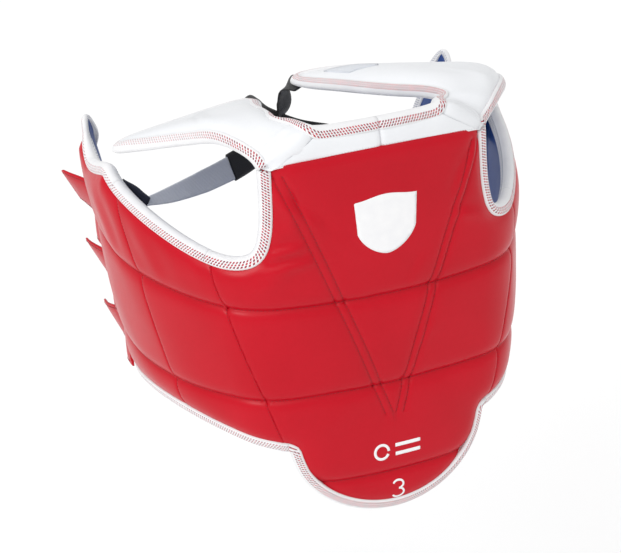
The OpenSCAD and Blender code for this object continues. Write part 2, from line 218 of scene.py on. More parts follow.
def distance(points, line):
    """Shortest distance of each point to a polyline."""
    a, b = line[:-1], line[1:]
    ab = b - a
    size = (ab ** 2).sum(1) + 1e-12
    result = np.empty(len(points))
    for first in range(0, len(points), 3000):
        p = points[first:first + 3000, None]
        t = np.clip(((p - a) * ab).sum(2) / size, 0, 1)
        result[first:first + 3000] = np.sqrt(((a + t[..., None] * ab - p) ** 2).sum(2)).min(1)
    return result


def inside(points, polygon):
    x, y = points[:, :1], points[:, 1:]
    x0, y0 = polygon[:, 0], polygon[:, 1]
    x1, y1 = np.roll(polygon, -1, axis=0).T
    crosses = (y0 > y) != (y1 > y)
    at = x0 + (y - y0) * (x1 - x0) / np.where(np.abs(y1 - y0) < 1e-9, 1e-9, y1 - y0)
    return (crosses & (x < at)).sum(1) % 2 == 1


def normals_of(line):
    """Unit normals of a flat polyline, to the right of its run."""
    t = unit(np.gradient(line, axis=0))
    return np.stack([t[:, 1], -t[:, 0]], axis=1)


def mirrored(line):
    return np.asarray(line)[::-1] * [-1, 1]


def v_rows():
    """The stitched rows of the V, as pairs of end points on the left half."""
    ends = np.array([V_FOOT, V_TOP], float)
    return [ends + [6 + shift, 0] for shift in (-V_SPACING / 2, V_SPACING / 2)]


V_ROWS = [row for pair in v_rows() for row in (pair, pair * [-1, 1])]

# Creases of the red cover: u, z, direction in degrees, length, width, height
CREASES = [
    (-101, 303, 14, 36, 5.5, 3.2), (-98, 288, 10, 46, 5.5, 3.4), (-95, 352, -66, 60, 6, 3.0),
    (-80, 338, -44, 56, 7, 2.2), (-112, 274, 30, 34, 7, 1.6), (94, 304, -18, 44, 6, 2.4),
    (86, 352, 62, 56, 6.5, 2.2), (-40, 300, -58, 34, 6.5, 0.8), (-22, 236, -60, 30, 6.5, 0.7),
    (34, 262, 60, 36, 6.5, 0.7), (40, 190, 50, 34, 7, 0.8), (-300, 300, -70, 60, 12, 1.2),
    (-330, 290, -64, 70, 14, 1.3), (300, 300, 70, 60, 12, 1.2), (-62, 120, 30, 60, 12, 0.9),
    (58, 118, -24, 64, 12, 0.9), (-190, 290, -55, 46, 9, 1.0), (-250, 280, -60, 56, 12, 1.0)
]


def fold(x, y, angle, length, width, height, sweep=0.004, dip=0.55, gap=1.5):
    """Height of one slightly bowed fold with a dip beside it, at places (x, y) from its middle."""
    c, s = math.cos(math.radians(angle)), math.sin(math.radians(angle))
    run, off = x * c + y * s, -x * s + y * c
    off = off + sweep * run ** 2
    shape = np.exp(-(off / width) ** 2) - dip * np.exp(-((off - gap * width) / width) ** 2)
    return height * shape * np.exp(-(run / (0.5 * length)) ** 4)


def creases(p, table):
    return sum(fold(p[:, 0] - u, p[:, 1] - z, *values) for u, z, *values in table)


def swell(p):
    """Slow unevenness of stuffed leather."""
    u, z = p[:, 0], p[:, 1]
    return (0.5 * np.sin(u / 31 + 1.3 * np.sin(z / 47)) * np.sin(z / 37 + 0.6)
            + 0.3 * np.sin(u / 17 + z / 23 + 2) + 0.25 * np.sin(u / 53 - z / 19))


def seam_distance(p):
    u, z = p[:, 0], p[:, 1]
    return np.minimum.reduce([np.abs(z - upper_seam(u)), np.abs(z - LOWER_SEAM_Z),
                              np.where(np.abs(u) < 120, np.abs(z - TIP_SEAM_Z), 99)])


def fold_distance(p):
    u, z = np.abs(p[:, 0]), p[:, 1]
    return np.minimum(np.abs(u - seam_a(z)), np.abs(u - seam_b(z)))


def horn_share(p):
    u, z = np.abs(p[:, 0]), p[:, 1]
    return ease((z - 340) / 26) * ease((u - 372) / 18)


def curl(p):
    """The horn at the top of a wing curls in a little."""
    return -0.35 * np.maximum(np.abs(p[:, 0]) - 392, 0) * horn_share(p)


def slim(p):
    """Share of the full thickness: the horn holds no foam."""
    return 1 - 0.55 * horn_share(p)


def edge_distance(p):
    return distance(p * np.where(p[:, :1] < 0, [-1, 1], [1, 1]), OUTLINE)


def cover_depth(p):
    q = seam_distance(p)
    edge = edge_distance(p)
    top = np.clip(yoke_seam(p[:, 0]) - p[:, 1], 0, 99)
    near_yoke = np.abs(p[:, 0]) < CORNER_U + 2
    depth = FULL_DEPTH + 2.2 * (1 - np.exp(-q / 26)) - SEAM_PINCH * np.exp(-q / SEAM_SOFT)
    depth -= 8.0 * np.exp(-np.maximum(edge - EDGE_HOLD, 0) / 8)
    depth -= 0.9 * np.exp(-(fold_distance(p) / 1.5)) + 0.25 * np.exp(-(fold_distance(p) / 7))
    depth -= np.where(near_yoke, 2.4 * np.exp(-top / 5), 0)
    rows = np.minimum.reduce([distance(p, row) for row in V_ROWS])
    depth -= 2.0 * np.exp(-rows / 1.3) + 0.5 * np.exp(-(rows / 6.0) ** 2)
    calm = 1 - np.exp(-np.maximum(edge - EDGE_HOLD, 0) / 8)
    depth += (creases(p, CREASES) + swell(p)) * calm
    return depth * slim(p) + curl(p)


def lining_depth(p):
    q = seam_distance(p)
    edge = edge_distance(p)
    depth = LINING_DEPTH - 3.6 * np.exp(-q / 5) - 5.2 * np.exp(-np.maximum(edge - EDGE_HOLD, 0) / 8)
    depth = depth - 1.2 * np.exp(-(fold_distance(p) / 3)) + 0.3 * swell(p * [1, -1])
    return -depth * slim(p) + curl(p)


# ---- Mesh making ----
def make_mesh(name, vertices, faces, uvs=None, smooth=True):
    mesh = bpy.data.meshes.new(name)
    mesh.from_pydata([tuple(v) for v in np.asarray(vertices) * MM], [], [tuple(f) for f in faces])
    mesh.validate()
    if uvs is not None:
        layer = mesh.uv_layers.new(name="UVMap")
        index = np.empty(len(mesh.loops), np.int32)
        mesh.loops.foreach_get("vertex_index", index)
        layer.data.foreach_set("uv", np.asarray(uvs, np.float32)[index].ravel())
    if smooth:
        mesh.shade_smooth()
    piece = bpy.data.objects.new(name, mesh)
    bpy.context.scene.collection.objects.link(piece)
    return piece


def fix_normals(piece):
    import bmesh
    bm = bmesh.new()
    bm.from_mesh(piece.data)
    bmesh.ops.recalc_face_normals(bm, faces=bm.faces)
    bm.to_mesh(piece.data)
    bm.free()


def triangulate(polygon, extra, lines=()):
    """Triangles of a flat polygon with extra points inside, keeping the edges of lines."""
    edges, count = [], len(polygon)
    for line in lines:
        edges += [(count + i, count + i + 1) for i in range(len(line) - 1)]
        count += len(line)
    everything = np.concatenate([polygon, *lines, extra])
    made = delaunay_2d_cdt([Vector(p) for p in everything], edges, [list(range(len(polygon)))], 1, 1e-5, True)
    flat, faces = np.array([tuple(v) for v in made[0]]), np.array([tuple(f) for f in made[2]])
    faces = faces[inside(flat[faces].mean(axis=1), polygon)]
    return flat, [tuple(int(k) for k in f) for f in faces]


def scattered(polygon, step, seed_lines=(), bands=()):
    """Points inside a polygon: bands beside its edge and beside lines, then an even lattice."""
    closed = loop(polygon)
    found = []

    def add(points, least):
        points = points[inside(points, polygon)]
        found.append(points[distance(points, closed) > least])

    for offset in bands:
        n = normals_of(closed)[:-1]
        for sign in (-1, 1):
            add(polygon + n * offset * sign, offset * 0.9)
    for line in seed_lines:
        n = normals_of(line)
        for offset in bands:
            for sign in (-1, 1):
                add(line + n * offset * sign, 1.2)
    low, high = polygon.min(0), polygon.max(0)
    grid = []
    row_step = step * 0.866
    for j in range(int(low[1] // row_step), int(high[1] // row_step) + 2):
        start = int(low[0] // step) * step + (step / 2 if j % 2 else 0)
        x = np.arange(start, high[0] + step, step)
        grid.append(np.stack([x, np.full(len(x), j * row_step)], axis=1))
    grid = np.concatenate(grid)
    grid = grid[inside(grid, polygon)]
    least = (max(bands) if bands else 0) + step * 0.55
    grid = grid[distance(grid, closed) > least]
    for line in seed_lines:
        grid = grid[distance(grid, line) > least]
    found.append(grid)
    seen, kept = set(), []
    for p in np.concatenate(found):
        cell = (int(p[0] // 1.3), int(p[1] // 1.3))
        if cell not in seen:
            seen.add(cell)
            kept.append(p)
    kept = np.array(kept)
    for line in seed_lines:
        kept = kept[distance(kept, line) > 0.8]
    return kept


def cut(line, keep, closed=False):
    """The stretch of a polyline where keep >= 0, with exact ends; of a polygon, the part, when closed."""
    values = keep(line)
    result = []
    for i, j in enumerate([*range(1, len(line)), 0]):
        if values[i] >= 0:
            result.append(line[i])
        if (closed or j) and values[i] * values[j] < 0:
            t = values[i] / (values[i] - values[j])
            result.append(line[i] + (line[j] - line[i]) * t)
    return np.array(result)


def fill_seam(polygon, on_line):
    """Adds points every few millimetres of height along the one long edge that lies on a seam."""
    result = []
    for i in range(len(polygon)):
        a, b = polygon[i], polygon[(i + 1) % len(polygon)]
        result.append(a)
        if abs(on_line(a)) < 1e-6 and abs(on_line(b)) < 1e-6 and np.linalg.norm(b - a) > STEP * 1.5:
            low, high = sorted((a[1], b[1]))
            zs = np.arange(math.ceil(low / STEP + 0.3) * STEP, high - 0.3 * STEP, STEP)
            if a[1] > b[1]:
                zs = zs[::-1]
            for z in zs:
                result.append(a + (b - a) * (z - a[1]) / (b[1] - a[1]))
    return np.array(result)


def inset_half():
    """The left half's polygon, PANEL_IN inside the outline."""
    n = normals_of(OUTLINE)
    line = OUTLINE - n * PANEL_IN
    line[0] = [0, line[0][1]]
    keep = distance(line, OUTLINE) > PANEL_IN * 0.93
    line = line[keep]
    line = line[line[:, 0] >= 0]
    tuck = 3
    u_top = line[-1][0]
    top = [[u, yoke_seam(u) + tuck] for u in np.arange(u_top, 0, -STEP)]
    return np.concatenate([line[:-1], top, [[0, yoke_seam(0) + tuck]]])


HALF = inset_half()


def chest_polygon():
    left = cut(HALF, lambda p: seam_a(p[:, 1]) - p[:, 0], True)
    return join_halves(fill_seam(left, lambda p: p[0] - seam_a(p[1])))


def join_halves(left):
    """Closed polygon of both halves, from the bottom centre along the left half and back along the right."""
    inner = left[left[:, 0] > 0.5]
    bottom = left[np.argmin(np.where(left[:, 0] < 0.5, left[:, 1], 1e9))]
    top = left[np.argmax(np.where(left[:, 0] < 0.5, left[:, 1], -1e9))]
    first = int(np.argmin(np.linalg.norm(inner - bottom, axis=1)))
    inner = np.roll(inner, -first, axis=0)
    return np.concatenate([[bottom * [0, 1]], inner, [top * [0, 1]], inner[::-1] * [-1, 1]])


def side_polygon():
    p = cut(cut(HALF, lambda q: q[:, 0] - seam_a(q[:, 1]), True), lambda q: seam_b(q[:, 1]) - q[:, 0], True)
    p = fill_seam(p, lambda q: q[0] - seam_a(q[1]))
    return fill_seam(p, lambda q: q[0] - seam_b(q[1]))


def back_polygon():
    p = cut(HALF, lambda q: q[:, 0] - seam_b(q[:, 1]), True)
    return fill_seam(p, lambda q: q[0] - seam_b(q[1]))


def seam_line(height, u0, u1):
    u = np.arange(u0, u1, STEP)
    return np.stack([u, height(u)], axis=1)


def quilt_lines():
    return [seam_line(upper_seam, -478, 478), seam_line(lambda u: LOWER_SEAM_Z + 0 * u, -478, 478),
            seam_line(lambda u: TIP_SEAM_Z + 0 * u, -110, 110)]


def inner_lines(polygon):
    """The stretches of the quilting seams that lie inside a polygon."""
    closed = loop(polygon)
    result = []
    for line in quilt_lines():
        kept = line[inside(line, polygon)]
        if len(kept) < 3:
            continue
        kept = kept[distance(kept, closed) > 1.6]
        if len(kept) > 2:
            result.append(kept)
    return result


def shell(name, count, skin, faces, rear, rear_faces, flat):
    """Closed piece between a skin and a rear, whose first count points are its rim."""
    base = len(skin)
    wall = [(i, (i + 1) % count, base + (i + 1) % count, base + i) for i in range(count)]
    turned = [tuple(base + k for k in reversed(f)) for f in rear_faces]
    vertices, uvs = np.concatenate([skin, rear]), np.concatenate(flat) * MM
    piece = make_mesh(name, vertices, list(faces) + turned + wall, uvs)
    fix_normals(piece)
    return piece


def pad_half(name, polygon, depth_of, back_depth, v_lines=()):
    """Closed half of a pad: a crowned skin over a flat back."""
    closed = loop(polygon)
    lines = inner_lines(polygon)
    for row in v_lines:
        row = resample(row)
        row = row[inside(row, polygon)]
        lines.append(row[distance(row, closed) > 1.6])
    extra = scattered(polygon, LATTICE, seed_lines=lines, bands=(1.2, 2.6, 4.6, 7.6))
    flat, faces = triangulate(polygon, extra, lines)
    back, back_faces = triangulate(polygon, scattered(polygon, 16))
    return shell(name, len(polygon), on_body(flat, depth_of(flat)), faces,
                 on_body(back, back_depth + curl(back)), back_faces, [flat, back])


# ---- Edge binding: a rounded sleeve folded over the edge ----
# Places (e, d): e outwards from the outline, d outwards from the foam's middle
def binding_section(outer, inner):
    """Closed section from the outer lip over the edge to the inner lip, with its length so far."""
    face = [(-12.2, outer - 1.6), (-11.6, outer + 0.1), (-9.6, outer + 0.7), (-7.2, outer + 0.4),
            (-4.6, outer - 0.5), (-2.4, outer - 2.0), (-0.8, outer - 4.4)]
    rear = [(-0.8, -inner + 4.4), (-2.4, -inner + 2.0), (-4.6, -inner + 0.5), (-7.2, -inner - 0.2),
            (-9.6, -inner - 0.3), (-11.2, -inner + 0.2), (-11.8, -inner + 1.6)]
    return np.array(face + [(0, outer * 0.2), (0, -inner * 0.2)] + rear, float)


SECTION = binding_section(7.6, 6.8)
SECTION_RUN = run_of(SECTION)


def tube(name, rings, runs, across, marks):
    """Closed sweep of rings; runs is the length along, across the length round the section."""
    count, size = len(rings), len(rings[0])
    vertices = np.concatenate(rings)
    uvs = [(run * MM, v * MM) for run in runs for v in across]
    faces = []
    for i in range(count - 1):
        for j in range(size):
            k = (j + 1) % size
            faces.append((i * size + j, i * size + k, (i + 1) * size + k, (i + 1) * size + j))
    faces += [tuple(reversed(range(size))), tuple(range((count - 1) * size, count * size))]
    piece = make_mesh(name, vertices, faces, uvs)
    layer = piece.data.attributes.new("marks", "FLOAT", "POINT")
    layer.data.foreach_set("value", np.repeat(np.asarray(marks, np.float32), size))
    fix_normals(piece)
    return piece


def body_binding(name, line, marks, shrink=None):
    """Binding along a flat outline path; the outside of the panel lies to the right of its run."""
    widths = np.ones(len(line)) if shrink is None else shrink
    rings = [on_body(p + normal * SECTION[:, :1] * width, SECTION[:, 1] * slim(p[None]) + curl(p[None]))
             for p, normal, width in zip(line, normals_of(line), widths)]
    return tube(name, rings, run_of(line), SECTION_RUN, marks)


def split_outline():
    """Stretches of the left outline by section: lower and upper ones."""
    tip_index = int(np.argmax(OUTLINE[:, 0] > 470))
    low, high = OUTLINE[:tip_index + 1], OUTLINE[tip_index:]
    return {
        "chest_low": cut(low, lambda p: seam_a(p[:, 1]) - p[:, 0]),
        "side_low": cut(cut(low, lambda p: p[:, 0] - seam_a(p[:, 1])),
                        lambda p: seam_b(p[:, 1]) - p[:, 0]),
        "back": np.concatenate([cut(low, lambda p: p[:, 0] - seam_b(p[:, 1])),
                                cut(high, lambda p: p[:, 0] - seam_b(p[:, 1]))[1:]]),
        "side_high": cut(cut(high, lambda p: seam_b(p[:, 1]) - p[:, 0]),
                         lambda p: p[:, 0] - seam_a(p[:, 1])),
        "chest_high": cut(high, lambda p: seam_a(p[:, 1]) - p[:, 0])
    }


PARTS = split_outline()


# ---- Stitches ----
def stitch_mesh(name, centres, runs, normals, length=2.6, width=0.75, lift=0.25):
    """Small plump thread stitches, each a six-sided spindle."""
    vertices, faces = [], []
    ring = [(math.cos(a), math.sin(a)) for a in np.linspace(0, 2 * math.pi, 7)[:-1]]
    stations = [(-0.5, 0.15), (-0.3, 0.85), (0.0, 1.0), (0.3, 0.85), (0.5, 0.15)]
    for c, t, n in zip(centres, runs, normals):
        t = t / (np.linalg.norm(t) + 1e-9)
        n = n - t * (n @ t)
        n = n / (np.linalg.norm(n) + 1e-9)
        b = np.cross(t, n)
        base = len(vertices)
        for at, fat in stations:
            sink = -0.35 if abs(at) > 0.4 else 0.0
            for x, y in ring:
                vertices.append(c + t * length * at + b * x * width / 2 * fat
                                + n * (lift + sink + y * width / 2 * fat))
        for k in range(len(stations) - 1):
            for j in range(6):
                low, m = base + k * 6, (j + 1) % 6
                faces.append((low + j, low + m, low + 6 + m, low + 6 + j))
        faces.append(tuple(base + j for j in reversed(range(6))))
        faces.append(tuple(base + 24 + j for j in range(6)))
    return make_mesh(name, np.array(vertices), faces)


def outward(p, reach=0.6):
    """Outward normals of the wrap at flat places."""
    depth = np.full(len(p), 8.0)
    at = on_body(p, depth)
    return unit(np.cross(on_body(p + [reach, 0], depth) - at, on_body(p + [0, reach], depth) - at))


def stitched(name, lines, pitch=3.6, **size):
    """Stitches along flat lines on the cover."""
    centres, runs, normals = [], [], []
    for line in lines:
        run = run_of(line)
        p = pick(np.arange(pitch / 2, run[-1], pitch), run, line)
        ahead = p + unit(np.gradient(p, axis=0))
        here = on_body(p, cover_depth(p))
        centres += list(here)
        runs += list(on_body(ahead, cover_depth(ahead)) - here)
        normals += list(outward(p))
    return stitch_mesh(name, centres, runs, normals, **size)


# ---- Prints on the cover ----
def print_piece(name, polygon, step=2.2, lift=0.22, depth=0.35):
    """Thin closed film that follows the cover, from a flat polygon."""
    polygon = resample(np.concatenate([polygon, polygon[:1]]), step)[:-1]
    flat, faces = triangulate(polygon, scattered(polygon, step * 1.3))
    top, low = (on_body(flat, cover_depth(flat) + rise) for rise in (lift, -depth))
    return shell(name, len(polygon), top, faces, low, faces, [flat, flat])


def stroke(path, width):
    """Outline polygon of a pen stroke along a flat path with varying width."""
    path = np.asarray(path, float)
    width = np.broadcast_to(np.asarray(width, float), len(path))
    n = normals_of(path)
    return np.concatenate([path + n * width[:, None] / 2, (path - n * width[:, None] / 2)[::-1]])


def join(name, parts):
    """One mesh from several, keeping their attributes."""
    bpy.ops.object.select_all(action="DESELECT")
    for part in parts:
        part.select_set(True)
    bpy.context.view_layer.objects.active = parts[0]
    bpy.ops.object.join()
    parts[0].name = name
    parts[0].data.name = name
    return parts[0]


# ---- Shoulders: the half yoke and its cap are one white piece per side ----
# Stations from the centre seam to the back end: edge on the neck side, edge on the arm side, crown
YOKE_STATIONS = [((0, 418), 0, 0), ((16, 418), 25, 0), ((32, 418), 51, 0), ((46, 418), 77, 0),
                 ((57, 419), 99, 0), ((62, 420), 108.5, 0)]
# The caps hang differently: the left one leans in over the neck, the right one lies further out.
CAP_STATIONS = {
    "left": [
        ((76, -127, 415), (119, -137, 390), 1), ((93, -108, 411), (138, -123, 401), 5),
        ((91, -70, 406), (162, -92, 402), 10), ((70, -36, 402), (181, -60, 395), 13),
        ((50, -3, 399), (196, -28, 387), 15), ((28, 34, 396), (206, 0, 379), 15),
        ((-8, 86, 391), (208, 32, 373), 12)
    ],
    "right": [
        ((76, -127, 421), (119, -137, 396), 1), ((88, -112, 421), (128, -124, 405), 4),
        ((82, -80, 414), (144, -97, 410), 8), ((74, -44, 406), (162, -62, 401), 9),
        ((66, -8, 398), (189, -26, 390), 7), ((56, 24, 392), (209, -4, 384), 4),
        ((42, 56, 387), (221, 14, 377), 3)
    ]
}
SHOULDER_ROWS, SHOULDER_COLS = 96, 30
SHOULDER_RUN = 330      # length of a shoulder piece from the centre seam to its back end


def spline(points, count):
    """Catmull-Rom curve through points, evenly in their number."""
    points = np.asarray(points, float)
    padded = np.concatenate([[2 * points[0] - points[1]], points, [2 * points[-1] - points[-2]]])
    at = np.linspace(0, len(points) - 1 - 1e-9, count)
    i = at.astype(int)
    t = (at - i)[:, None]
    p0, p1, p2, p3 = padded[i], padded[i + 1], padded[i + 2], padded[i + 3]
    return 0.5 * (2 * p1 + (p2 - p0) * t + (2 * p0 - 5 * p1 + 4 * p2 - p3) * t ** 2
                  + (3 * p1 - p0 - 3 * p2 + p3) * t ** 3)


def shoulder_grid(stations):
    """Middle surface of a shoulder piece drawn on the left, its normals and its half thickness, as grids."""
    zero = np.zeros(1)
    rows = [(on_body(flat, zero)[0], on_body((arm_u, yoke_seam(arm_u)), zero)[0], rise)
            for flat, arm_u, rise in YOKE_STATIONS] + stations
    neck, arm = (spline([row[k] for row in rows], SHOULDER_ROWS) for k in range(2))
    crown = spline([[row[2]] for row in rows], SHOULDER_ROWS)[:, 0]
    corner = (len(YOKE_STATIONS) - 1) / (len(YOKE_STATIONS) + len(stations) - 1)
    s = np.linspace(0, 1, SHOULDER_ROWS)
    end = np.clip((s - 0.92) / 0.08, 0, 1)
    narrow = 0.82 + 0.18 * np.sqrt(np.clip(1 - end ** 2.2, 0, 1))
    w = np.linspace(0, 1, SHOULDER_COLS)
    t = 0.5 + (w[None, :] - 0.5) * narrow[:, None]
    middle = neck[:, None] * (1 - t[..., None]) + arm[:, None] * t[..., None]
    across = arm - neck
    run = np.gradient((neck + arm) / 2, axis=0)
    up = unit(np.cross(across, run))
    up *= -1 if (up[-1, 2] < 0) else 1
    arch = np.where(t > 0.5, 1 - np.abs(2 * t - 1) ** 6, 1 - np.abs(2 * t - 1) ** 3)
    middle = middle + up[:, None] * (crown[:, None] * arch)[..., None]
    normal = np.cross(np.gradient(middle, axis=1), np.gradient(middle, axis=0))
    normal /= np.linalg.norm(normal, axis=2)[..., None] + 1e-9
    if normal[-SHOULDER_ROWS // 4, SHOULDER_COLS // 2, 2] < 0:
        normal = -normal
    width = np.linalg.norm(across, axis=1)[:, None]
    neck_off, arm_off = t * width, (1 - t) * width
    end_off = (1 - s)[:, None] * 260 + 0 * t
    full = 11.6 - 4.0 * ease((s - corner) / 0.15)[:, None]
    bound_arm = ease((s - corner + 0.07) / 0.05)[:, None]
    thick = full * (1 - 0.5 * np.exp(-np.maximum(neck_off - 4, 0) / 7) - 0.45 * np.exp(-end_off / 9))
    thick -= bound_arm * full * 0.5 * np.exp(-np.maximum(arm_off - 4, 0) / 6)
    thick -= (1 - bound_arm) * 0.9 * np.exp(-arm_off / 5)
    thick = np.maximum(thick, 1.6)
    thick -= 1.6 * np.exp(-s[:, None] * SHOULDER_RUN / 2.4)
    return middle, normal, thick, s, t, corner, width


SHOULDER = {side: shoulder_grid(stations) for side, stations in CAP_STATIONS.items()}


def shoulder_folds(s, t, width, right):
    """Raised folds of the white leather, in millimetres."""
    along_mm, across_mm = s[:, None] * SHOULDER_RUN + 0 * t, t * width
    if right:
        folds = [(158, 30, 78, 60, 4.5, 2.0), (174, 44, 64, 46, 4.5, 1.8), (146, 58, 55, 40, 4, 2.0),
                 (192, 60, 84, 40, 5, 1.3), (232, 66, 4, 150, 4.6, 1.8), (126, 24, 40, 40, 5, 1.2)]
    else:
        folds = [(148, 40, 86, 76, 3.8, 2.2), (160, 42, 84, 84, 3.6, 2.2), (172, 44, 82, 84, 3.6, 2.0),
                 (134, 30, 88, 50, 4, 1.4), (190, 40, 75, 60, 6, 1.2), (230, 60, 10, 80, 7, 1.0)]
    total = sum(fold(along_mm - a, across_mm - b, *values, 0.003, 0.6, 1.4) for a, b, *values in folds)
    return total + 0.35 * np.sin(along_mm / 13 + 1.1 * np.sin(across_mm / 17)) * np.sin(across_mm / 15)


def closed_grid(name, top, bottom, scale_uv):
    """Closed piece between two grids of points."""
    rows, cols = top.shape[:2]
    vertices = np.concatenate([top.reshape(-1, 3), bottom.reshape(-1, 3)])
    base = rows * cols

    def at(i, j):
        return i * cols + j

    faces = []
    for i in range(rows - 1):
        for j in range(cols - 1):
            quad = (at(i, j), at(i, j + 1), at(i + 1, j + 1), at(i + 1, j))
            faces.append(quad)
            faces.append(tuple(base + k for k in reversed(quad)))
    rim = [at(0, j) for j in range(cols)] + [at(i, cols - 1) for i in range(1, rows)]
    rim += [at(rows - 1, j) for j in range(cols - 2, -1, -1)] + [at(i, 0) for i in range(rows - 2, 0, -1)]
    for a, b in zip(rim, rim[1:] + rim[:1]):
        faces.append((a, b, base + b, base + a))
    uvs = np.concatenate([scale_uv.reshape(-1, 2)] * 2)
    piece = make_mesh(name, vertices, faces, uvs)
    fix_normals(piece)
    return piece


def shoulder_pieces(side):
    """Cover, lining, binding and stitches of one shoulder."""
    middle, normal, thick, s, t, corner, width = SHOULDER[side]
    flip_x = sided(side)
    folds = shoulder_folds(s, t, width, side == "right")
    inner = (np.clip(np.minimum(t, 1 - t) * width / 14, 0, 1)
             * np.clip((1 - s)[:, None] * SHOULDER_RUN / 16, 0, 1))
    top, core, core_low, low = ((middle + normal * np.broadcast_to(rise, t.shape)[..., None]) * flip_x
                                for rise in (thick + folds * inner, 0.3, -0.3, -thick * 0.86))
    uv = np.stack([s[:, None] * SHOULDER_RUN + 0 * t, t * width], axis=2) * MM
    cover = closed_grid(f"shoulder_cover_{side}", top, core, uv)
    lining = closed_grid(f"shoulder_lining_{side}", core_low, low, uv)

    # binding: arm edge from the corner, round the back end, along the neck edge to the centre seam
    first = int(round(corner * (SHOULDER_ROWS - 1)))
    rows, cols = SHOULDER_ROWS, SHOULDER_COLS
    walk = [(i, cols - 1, i, cols - 2) for i in range(first, rows - 1)]
    walk += [(rows - 1, j, rows - 2, j) for j in range(cols - 1, -1, -1)]
    walk += [(i, 0, i, 1) for i in range(rows - 2, -1, -1)]
    here_i, here_j, near_i, near_j = np.array(walk).T
    line = middle[here_i, here_j]
    run = run_of(line)
    count = int(run[-1] / STEP)
    at = np.linspace(0, run[-1], count)
    smooth_line, near, facing = (pick(at, run, rows) for rows in
                                 (line, middle[near_i, near_j], normal[here_i, here_j]))
    up = facing.copy()
    half = np.interp(at, run, thick[here_i, here_j])
    for _ in range(4):
        for values in (smooth_line, up):
            values[1:-1] = 0.25 * values[:-2] + 0.5 * values[1:-1] + 0.25 * values[2:]
    tangent = unit(np.gradient(smooth_line, axis=0))
    out = square_to(smooth_line - near, tangent)
    guess = np.cross(tangent, up)
    out = unit(guess * np.sign((guess * out).sum(1))[:, None])
    up = np.cross(out, tangent)
    up = unit(up * np.sign((up * facing).sum(1))[:, None])
    places = SECTION + [PANEL_IN, 0]
    tall = (half + 2.2) / 7.4
    rings = [(smooth_line[i] + out[i] * places[:, :1] + up[i] * places[:, 1:] * tall[i]) * flip_x
             for i in range(count)]
    share = at / at[-1]
    marks = np.interp(share, [0, 0.06, 0.14, 0.3, 0.42, 0.5, 0.62, 0.8, 1.0],
                      [1, 0.9, 0.45, 0.35, 0.8, 0.7, 0.7, 1, 1])
    binding = tube(f"shoulder_binding_{side}", rings, at, SECTION_RUN, marks)

    # a fine stitch row above the yoke seam
    def on_top(i, w):
        j = w * (cols - 1)
        a, b = int(j), min(int(j) + 1, cols - 1)
        return top[i, a] * (1 - (j - a)) + top[i, b] * (j - a)

    seam = np.array([on_top(i, 1 - 4.0 / float(width[i, 0])) for i in range(first - 1)])
    hem = run_of(seam)
    centres = pick(np.arange(2, hem[-1], 3.0), hem, seam)
    runs = np.gradient(centres, axis=0)
    ups = np.array([[0, -1, 0.1]] * len(centres), float)
    stitches = stitch_mesh(f"yoke_stitches_{side}", centres, runs, ups, length=1.9, width=0.6, lift=0.1)
    return cover, lining, binding, stitches


# ---- Straps and tabs ----
def ribbon(name, route, across, width, thick, steps=40, bow=0.0):
    """Flat strap along a route, slightly cupped, with rounded long edges."""
    points = spline(route, steps)
    across, width = np.atleast_2d(across), np.atleast_1d(width)
    sides = spline(across, steps) if len(across) > 1 else np.repeat(across, steps, 0)
    tangent = unit(np.gradient(points, axis=0))
    sides = unit(square_to(unit(sides), tangent))
    face = np.cross(tangent, sides)
    width = np.interp(np.linspace(0, 1, steps), np.linspace(0, 1, len(width)), width)
    run = run_of(points)
    cols = 13
    w = np.linspace(-1, 1, cols)
    cup = bow * (1 - w ** 2)
    plump = thick / 2 * np.sqrt(np.clip(1 - np.abs(w) ** 8, 0.05, 1))
    base = points[:, None] + sides[:, None] * (w[None, :, None] * width[:, None, None] / 2)
    top, low = (base + face[:, None] * rise[None, :, None] for rise in (cup + plump, cup - plump))
    uv = np.stack([np.repeat(run[:, None], cols, 1), w[None] * width[:, None] / 2], axis=2) * MM
    return closed_grid(name, top, low, uv)


UPRIGHT = (0, 0.35, 1)
CUFF_ROUTE = [(-44, 80, 321), (-60, 71, 318.5), (-76, 62, 317)]
ELASTIC_ROUTE = [(-71, 64, 317), (-112, 44, 315), (-155, 25, 315), (-188, 10, 318)]
ANCHOR_ROUTE = [(-186, 8, 317), (-193, 16, 321), (-199, 24, 325), (-203, 36, 326)]
BAND_ROUTES = {
    "left": [(14, 74, 389), (3, 88, 388), (1, 98, 374), (2, 102, 356), (-15, 99, 337), (-44, 80, 321)],
    "right": [(60, 42, 377), (46, 64, 373), (34, 78, 362), (18, 89, 345), (-10, 90, 329), (-44, 80, 321)]
}
BAND_WIDTHS = {
    "left": [(0.6, 0.8, 0.1), (0.6, 0.8, 0.1), (0.64, 0.76, 0.1), (0.75, 0.62, 0.2), (0.55, 0.45, 0.7),
             UPRIGHT],
    "right": [(0.1, 0.5, 1), (0, 0.4, 1), *[UPRIGHT] * 4]
}


# name: route, directions across, widths, thickness, stations, bow
STRAPS = {
    "cuff": (CUFF_ROUTE, UPRIGHT, 30, 4.2, 18, 0),
    "elastic": (ELASTIC_ROUTE, [UPRIGHT, UPRIGHT, (0.1, 0.6, 0.9), (0.2, 0.9, 0.7)],
                (26, 24, 17, 9), 1.8, 60, 0.6),
    "anchor": (ANCHOR_ROUTE, UPRIGHT, (13, 18, 22, 24), 2.4, 16, 0)
}


def strap_piece(kind, side):
    table = {"band": (BAND_ROUTES[side], BAND_WIDTHS[side], (34, 36, 38, 36, 32), 1.9, 60, 1.5), **STRAPS}
    route, across, *rest = table[kind]
    route, across = (np.array(rows, float) * sided(side) for rows in (route, across))
    return ribbon(f"strap_{kind}_{side}", route, across, *rest)


TAB_RUN = np.array([-math.cos(math.radians(TAB_HEADING)), math.sin(math.radians(TAB_HEADING)), 0])


